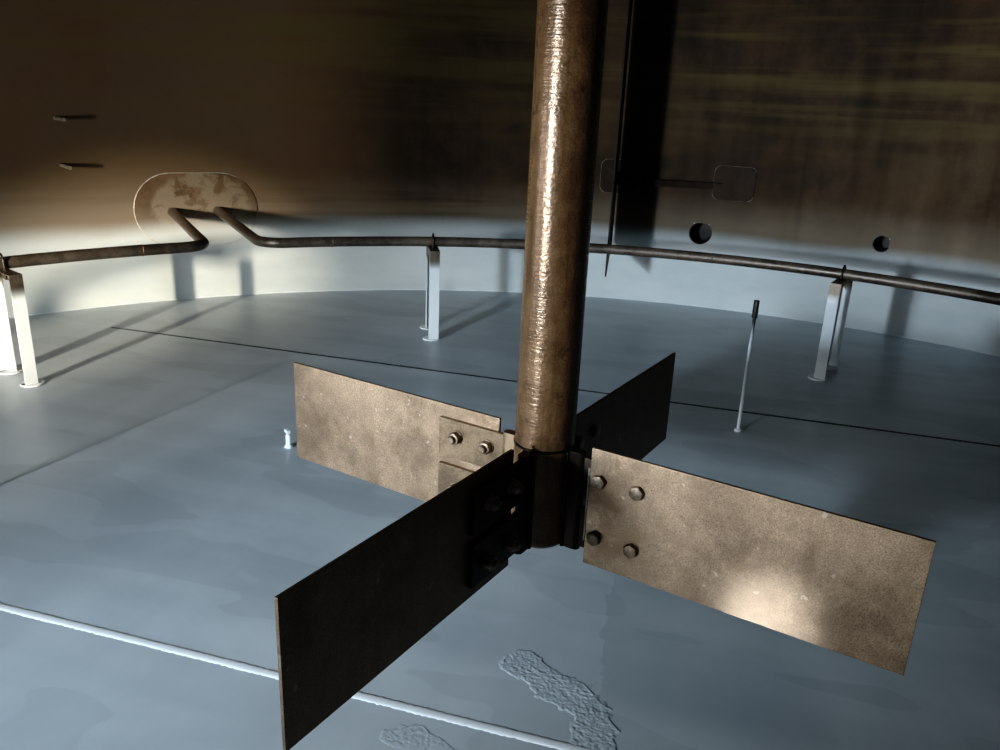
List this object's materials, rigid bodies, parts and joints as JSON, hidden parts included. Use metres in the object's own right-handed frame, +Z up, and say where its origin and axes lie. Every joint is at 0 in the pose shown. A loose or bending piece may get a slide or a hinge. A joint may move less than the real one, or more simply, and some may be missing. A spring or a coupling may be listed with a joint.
{
  "type": "vertical storage tank with paddle agitator and heating coil",
  "caption": "Upright steel storage tank with a cone roof, a manway, wall baffles, a ring heating coil on portal supports and a slow paddle agitator.",
  "frame": {"origin": "on the tank's axis, on the underside of the bottom plates", "axes": "+Z up along the axis of the tank and the agitator's shaft; the manway faces -Y"},
  "size_m": [9.165, 9.342, 8.6408],
  "materials": {
    "floor_coat": "semi-gloss rolled coating",
    "shell_plate": "satin paint outside, sprayed coat over bare steel inside",
    "roof_plate": "satin paint",
    "mill_steel": "mill finish, lightly oxidised",
    "coil_steel": "dark mill scale",
    "support_coat": "semi-gloss coat, bare at the top",
    "nozzle_paint": "satin paint",
    "housing_paint": "semi-gloss paint"
  },
  "bodies": {
    "tank": {"baffle_1": "mill_steel", "baffle_2": "mill_steel", "baffle_3": "mill_steel", "baffle_4": "mill_steel", "bearing_housing": "housing_paint", "coil_arc_1": "coil_steel", "coil_arc_2": "coil_steel", "coil_arc_3": "coil_steel", "coil_arc_4": "coil_steel", "coil_left_run": "coil_steel", "coil_pad": "mill_steel", "coil_right_run": "coil_steel", "coil_support_1": "support_coat", "coil_support_2": "support_coat", "coil_support_3": "support_coat", "coil_support_4": "support_coat", "coil_support_5": "support_coat", "coil_support_6": "support_coat", "coil_support_7": "support_coat", "coil_support_8": "support_coat", "coil_support_9": "support_coat", "floor_plate_1": "floor_coat", "floor_plate_2": "floor_coat", "floor_plate_3": "floor_coat", "floor_plate_4": "floor_coat", "floor_rod_1": "support_coat", "floor_rod_2": "support_coat", "floor_stub": "support_coat", "manway_neck": "nozzle_paint", "manway_pad": "nozzle_paint", "nozzle_blank_large": "nozzle_paint", "nozzle_blank_small": "nozzle_paint", "roof_nozzle": "nozzle_paint", "roof_plate_1": "roof_plate", "roof_plate_2": "roof_plate", "roof_plate_3": "roof_plate", "roof_plate_4": "roof_plate", "roof_plate_5": "roof_plate", "shell_plate_1": "shell_plate", "shell_plate_2": "shell_plate", "shell_plate_3": "shell_plate", "shell_plate_4": "shell_plate", "shell_plate_5": "shell_plate", "thermowell_lower": "mill_steel", "thermowell_upper": "mill_steel", "wall_nozzle_large": "nozzle_paint", "wall_nozzle_small": "nozzle_paint"},
    "agitator": {"agitator_blade_1": "mill_steel", "agitator_blade_2": "mill_steel", "agitator_blade_3": "mill_steel", "agitator_blade_4": "mill_steel", "agitator_shaft": "mill_steel", "blade_bracket_1": "mill_steel", "blade_bracket_2": "mill_steel", "blade_bracket_3": "mill_steel", "blade_bracket_4": "mill_steel"}
  },
  "joints": [
    {"name": "agitator_spin", "type": "hinge", "parent": "tank", "child": "agitator", "pos_m": [0, 0, 0.5], "axis": [0, 0, 1], "continuous": true}
  ]
}
